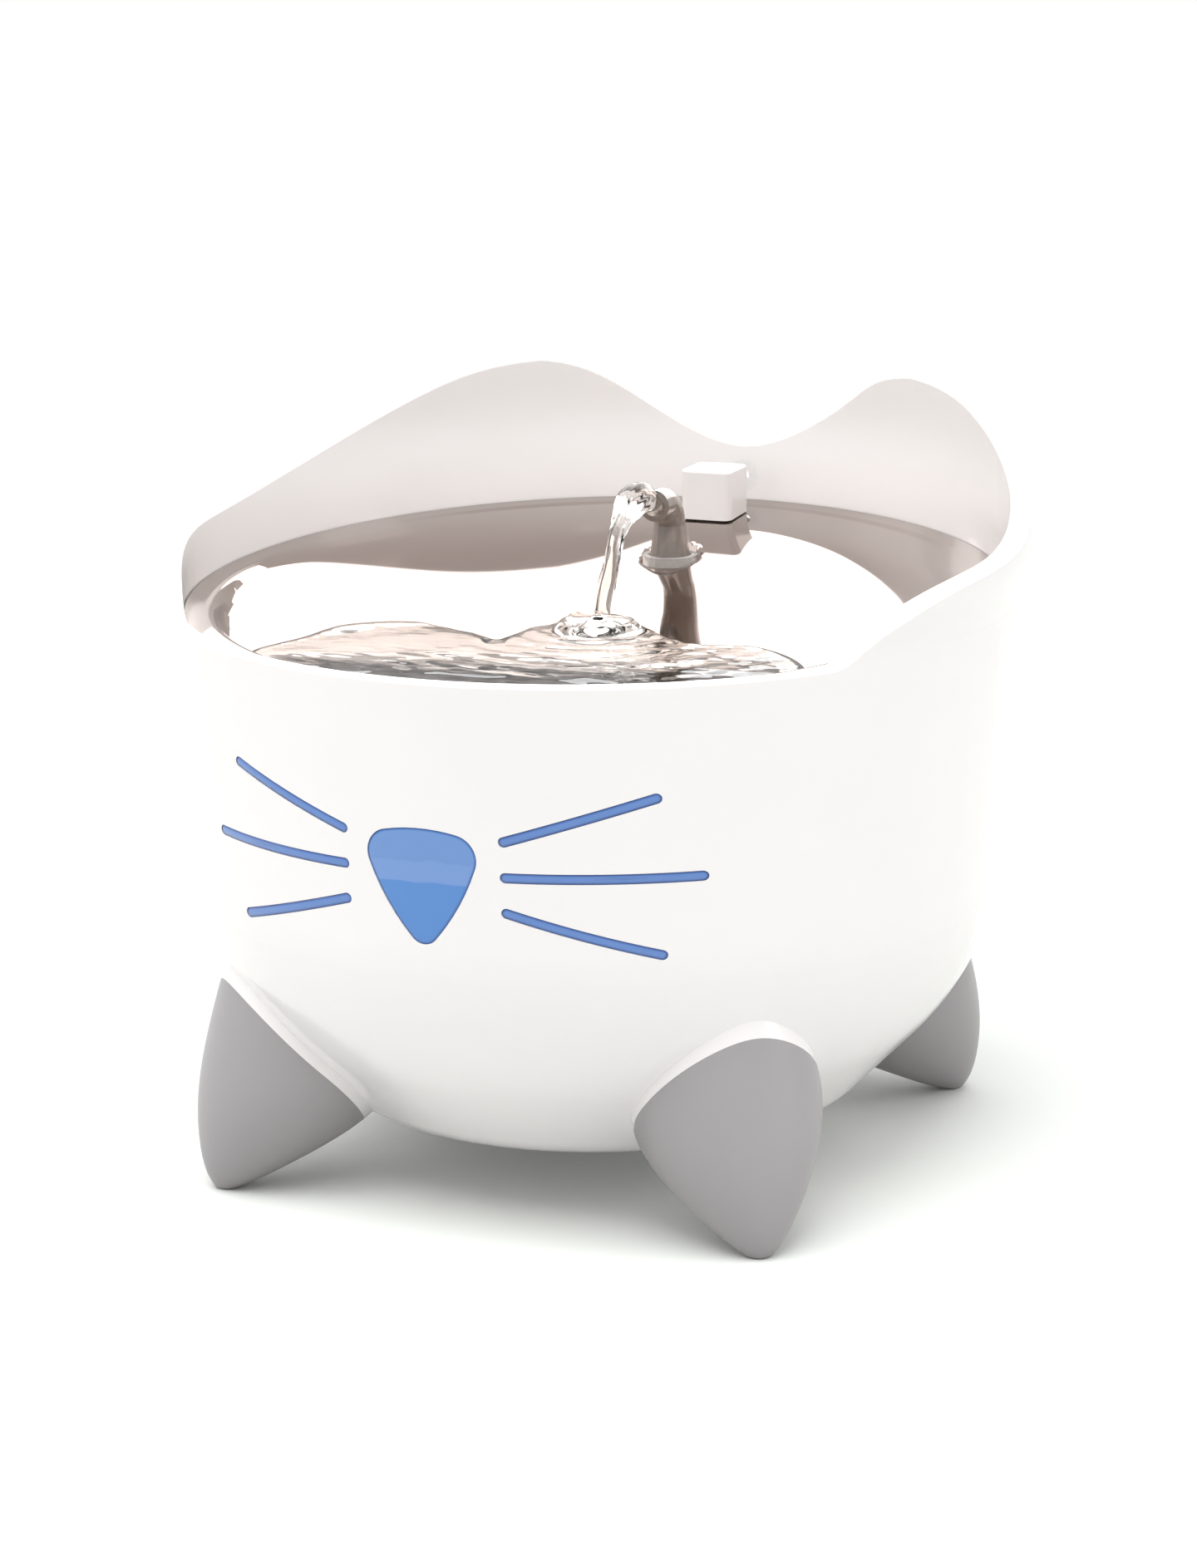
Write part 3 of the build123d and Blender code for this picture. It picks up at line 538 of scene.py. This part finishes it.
slot_punch = press.node("GeometryNodeCurveToMesh", None, {
    "Curve": slot_path, "Profile Curve": slot_outline, "Fill Caps": True})
punches = press.node("GeometryNodeInstanceOnPoints", None, {
    "Points": slot_places, "Instance": slot_punch,
    "Rotation": press.node("ShaderNodeCombineXYZ", None, {"Z": turn})})
for punch in (fills(punches, None, None, "RealizeInstances"),
              round_punch(size["Spout hole"], size["Spout y"]),
              round_punch(size["Cord hole"], size["Cord y"])):
    pressed = press.node("GeometryNodeMeshBoolean", {"operation": "DIFFERENCE", "solver": "EXACT"}, {
        "Mesh 1": pressed, "Mesh 2": punch})
pressed = fills(pressed, None, None, "RealizeInstances")
pressed = fills(pressed, None, {"Material": steel.material}, "SetMaterial")
end = group.nodes.new("NodeGroupOutput")
press.plug(end.inputs["Dish"], pressed)

polished_dish = bpy.data.objects.new("polished_dish", bpy.data.meshes.new("blank"))
scene.collection.objects.link(polished_dish)
pressing = polished_dish.modifiers.new("pressing", "NODES")
pressing.node_group = group
for name, value in dish_sizes.items():
    pressing[dish_sockets[name]] = value
bpy.context.view_layer.update()
polished_dish.data = bpy.data.meshes.new_from_object(
    polished_dish.evaluated_get(bpy.context.evaluated_depsgraph_get()))
polished_dish.modifiers.clear()
polished_dish.data.materials.clear()
polished_dish.data.materials.append(steel.material)
polished_dish.data.shade_smooth()
polished_dish.data.set_sharp_from_angle(angle=steel_edge)
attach(polished_dish, "dish")
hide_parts("steel_dish")

# ------------------------------------------------------------------ seals
# Pale grey silicone: the ring under the dish, the plugs for riser and cord, the window's gasket,
# the cord's grommet and gland, and the pump's suction cups.
dress(rubber("pale silicone", (0.62, 0.62, 0.61), 0.6), "dish_seal", "spout_grommet", "cable_seal",
      "nose_gasket", "pump_lead_gland", "suction_cups")
dress(rubber("white silicone", (0.9, 0.89, 0.88), 0.5), "cord_grommet")

# ------------------------------------------------------------------ spout
# A bent nozzle moulded in smoky translucent plastic and a clear screw ring that holds it. The riser
# and the level lamp's lens under the dish are clear too.
clear_plastic = Finish("clear plastic", {
    "Base Color": (0.96, 0.94, 0.92), "Roughness": 0.05, "IOR": 1.45, "Transmission Weight": 0.75})
clear_plastic.relief(clear_plastic.speckle(0.004), 0.00003)
dress(clear_plastic, "spout_collar", "riser_tube", "led_lens")
smoky_plastic = Finish("smoky plastic", {
    "Roughness": 0.06, "IOR": 1.45, "Transmission Weight": 0.68,
    "Coat Weight": 0.6, "Coat Roughness": 0.03})
smoke = smoky_plastic.mix(smoky_plastic.speckle(0.006), (0.55, 0.49, 0.44), (0.47, 0.41, 0.37))
smoky_plastic.set({"Base Color": smoke})
smoky_plastic.relief(smoky_plastic.speckle(0.004), 0.00003)
dress(smoky_plastic, "spout_elbow")

# ------------------------------------------------------------------ water
# A nearly level, finely rippled pool over the deepest part of the dish, the ring it throws up where
# the stream lands, and the stream, which swells as it leaves the nozzle and thins as it falls.
water = Finish("water", {
    "Base Color": (0.84, 0.815, 0.79), "Roughness": 0.0, "IOR": 1.33, "Transmission Weight": 1.0})
pool_edge = (                 # outline of the pool, seen from above
    (-0.0764, -0.036), (-0.0704, -0.018), (-0.0534, -0.005), (-0.0354, -0.010), (-0.0244, -0.015),
    (-0.0205, 0.002), (-0.0115, 0.014), (0.002, 0.0165), (0.0125, 0.0105), (0.0326, -0.003),
    (0.0486, -0.003), (0.0625, -0.012), (0.0745, -0.027), (0.0815, -0.046), (0.0815, -0.060),
    (0.075, -0.072), (0.061, -0.0845), (0.042, -0.0905), (0.0, -0.0925), (-0.042, -0.0905),
    (-0.061, -0.0845), (-0.075, -0.072), (-0.0815, -0.056))
pool_middle = Vector((0.003, -0.045))
pool_level = 0.1517
landing = Vector((-0.001, 0.0055))     # where the stream meets the pool
mound_height, mound_width = 0.0036, 0.0046
splash_height, splash_radius, splash_width = 0.0021, 0.0105, 0.0024
wave_height, wave_length, wave_reach = 0.0006, 0.0085, 0.022
chop_height, fine_height = 0.00034, 0.00013
thinnest, film, above_steel = 0.0009, 0.00015, 0.00004
edge_bulge, calm_edge = 0.0011, 0.004
around_pool, across_pool, base_every = 540, 96, 6
stream_steps, stream_sides, stream_wobble, stream_aside = 8, 40, 0.2, -0.0008


def curved(a, b, c, d, steps):
    """Points from b up to c of the smooth (Catmull-Rom) line through four points."""
    for k in range(steps):
        t = k / steps
        square, cube = 2 * a - 5 * b + 4 * c - d, 3 * b - a - 3 * c + d
        yield 0.5 * (2 * b + (c - a) * t + square * t**2 + cube * t**3)


def smooth_ring(points, count):
    """Closed smooth line through points."""
    line = []
    for i in range(len(points)):
        line += curved(*(points[(i + k) % len(points)] for k in (-1, 0, 1, 2)), 12)
    return even(line, count)


def smooth_line(points, steps):
    """Open smooth line through points."""
    padded = [points[0], *points, points[-1]]
    line = []
    for four in zip(padded, padded[1:], padded[2:], padded[3:]):
        line += curved(*four, steps)
    return [*line, points[-1]]


def bowl_height(x, y):
    """Height of the steel under the pool: the bowl's bottom, or its side near the flange."""
    back, side = y / dish_radius, x / dish_radius
    bottom = side**2 * through(bowl_side_up, back) - through(bowl_down, back)
    wall = dish_sizes["Side slope"] * (hypot(x, y) - dish_sizes["Bowl radius"])
    wall += y * dish_sizes["Slope"]
    rounding = dish_sizes["Rounding"]
    blend = max(rounding - abs(bottom - wall), 0.0) / rounding
    return dish_height + max(bottom, wall) + blend**3 * rounding / 6


def ripple(x, y):
    """Height of the water's surface over its level: rings round the stream, then fine wavelets."""
    out = hypot(x - landing.x, y - landing.y)
    knot = noise.noise(Vector((x * 260, y * 260, 1.7)))
    mound = mound_height * exp(-(out / mound_width)**2)
    splash = splash_height * (1 + 0.5 * knot) * exp(-((out - splash_radius) / splash_width)**2)
    rings = wave_height * cos(2 * pi * (out - splash_radius) / wave_length) * exp(-out / wave_reach)
    chop = chop_height * noise.noise(Vector((x * 75, y * 120, 0.3)))
    fine = fine_height * noise.noise(Vector((x * 170, y * 300, 4.1)))
    return mound + splash + rings + chop + fine


pool = bmesh.new()
pool_line = smooth_ring([Vector(p) for p in pool_edge], around_pool)
near_edge = (0.0, 0.002, 0.005, 0.01, 0.016, 0.023)
pool_shares = (*near_edge, *(0.03 + 0.97 * (k / across_pool) for k in range(across_pool)))
surface, base = [], []
for i, share in enumerate(pool_shares):
    upper, lower = [], []
    for p in pool_line:
        q = p.lerp(pool_middle, share)
        depth_in = (p - q).length
        on_steel = bowl_height(q.x, q.y) + above_steel
        thick = max(pool_level - on_steel, thinnest) * (1 - exp(-depth_in / edge_bulge))
        if share:
            thick = max(thick + ripple(q.x, q.y) * min(1.0, depth_in / calm_edge), film)
        upper.append(pool.verts.new((q.x, q.y, on_steel + thick)))
        if i % base_every == 0:
            lower.append(pool.verts.new((q.x, q.y, on_steel)))
    surface.append(upper)
    if lower:
        base.append(lower)
for rings in (surface, base):
    for outer_ring, inner_ring in zip(rings, rings[1:]):
        stitch(pool, outer_ring, inner_ring)
    pool.faces.new(rings[-1])
stitch(pool, surface[0], base[0])
mesh_piece("water_pool", pool, water, "dish")


def tube(work, path, radii, sides, wobble):
    """Closed round body along a path, with uneven radius."""
    rings = []
    for i, (p, r) in enumerate(zip(path, radii)):
        along = (path[min(i + 1, len(path) - 1)] - path[max(i - 1, 0)]).normalized()
        across = Vector((1, 0, 0))
        over = along.cross(across).normalized()
        ring = []
        for k in range(sides):
            a = 2 * pi * k / sides
            spread = r * (1 + wobble * noise.noise(Vector((2 * cos(a), 2 * sin(a), 90 * p.z))))
            ring.append(work.verts.new(p + spread * (cos(a) * across + sin(a) * over)))
        rings.append(ring)
    for lower, upper in zip(rings, rings[1:]):
        stitch(work, lower, upper)
    work.faces.new(rings[0])
    work.faces.new(rings[-1])


stream_course = (             # y, z and radius of the stream from the nozzle to the pool
    (0.0475, 0.1803, 0.0030), (0.0435, 0.1826, 0.0036), (0.0395, 0.1842, 0.0042),
    (0.0340, 0.1849, 0.0046), (0.0285, 0.1837, 0.0044), (0.0238, 0.1811, 0.0034),
    (0.0200, 0.1783, 0.0027), (0.0166, 0.1745, 0.0024), (0.0134, 0.1690, 0.0024),
    (0.0100, 0.1633, 0.0026), (0.0070, 0.1579, 0.0023), (0.0058, 0.1554, 0.0024))
course = smooth_line([Vector(p) for p in stream_course], stream_steps)
aside = [stream_aside * (1 - i / len(course)) for i in range(len(course))]
stream = bmesh.new()
tube(stream, [Vector((x, y, z)) for x, (y, z, _) in zip(aside, course)],
     [r for _, _, r in course], stream_sides, stream_wobble)
mesh_piece("water_stream", stream, water, "spout")

# ------------------------------------------------------------------ filter
# A pale slotted tray on the reservoir's floor, and a cassette of dark foam and carbon in
# a white frame that stands in the tray's guides.
dress(moulded("tray plastic", (0.84, 0.85, 0.85), 0.35), "filter_housing")
dress(moulded("cassette plastic", (0.88, 0.88, 0.87), 0.5), "filter_frame", "filter_tab")


def porous(name, color, pore):
    """Foam or granules: paler grains with painted shade in the pits between them."""
    open_cells = Finish(name, {"Roughness": 0.95, "Specular IOR Level": 0.2})
    cells = open_cells.node(
        "ShaderNodeTexVoronoi", None, {"Vector": open_cells.place(), "Scale": 1 / pore})
    # The pits are painted darker as the shade that falls in them.
    painted_pit_shade = tuple(channel * 0.35 for channel in color)
    open_cells.set({"Base Color": open_cells.mix(cells.step(0.1, 0.7), color, painted_pit_shade)})
    open_cells.relief(cells, -0.6 * pore)
    return open_cells


dress(porous("filter foam", (0.22, 0.24, 0.26), 0.0011), "filter_foam")
dress(porous("carbon granules", (0.06, 0.06, 0.06), 0.0018), "filter_carbon")

# ------------------------------------------------------------------ pump
# A small submerged pump in black plastic. Its coil sits round a sealed can in which the magnet
# and the impeller spin on a steel shaft between two ceramic bushes; a grey dial sets the flow.
pump_black = moulded("pump plastic", (0.035, 0.036, 0.04), 0.45, tint=0.2, waviness=0.00004)
dress(pump_black, "pump_base", "pump_housing", "pump_cover", "pump_strainer")
dress(moulded("dial plastic", (0.7, 0.71, 0.72), 0.4), "flow_dial", "impeller")
dress(moulded("ceramic", (0.88, 0.86, 0.82), 0.25), "shaft_bush_lower", "shaft_bush_upper")

ground_steel = Finish("ground steel", {"Base Color": (0.66, 0.66, 0.68), "Metallic": 1.0})
ground_steel.set({"Roughness": 0.2 + 0.2 * ground_steel.speckle(0.0008, 2.0, (1, 1, 0.05))})
dress(ground_steel, "rotor_shaft")

magnet = Finish("sintered magnet", {"Metallic": 0.6, "Roughness": 0.5})
magnet.set({"Base Color": magnet.mix(magnet.speckle(0.0005), (0.09, 0.09, 0.095), (0.05, 0.05, 0.055))})
dress(magnet, "rotor_magnet")

winding = Finish("copper winding", {"Base Color": (0.75, 0.36, 0.2), "Metallic": 0.9, "Roughness": 0.35})
turns = winding.node(
    "ShaderNodeTexWave", {"bands_direction": "Z"}, {"Vector": winding.place(), "Scale": 900.0})
winding.relief(turns, 0.00015)
dress(winding, "stator_coil")
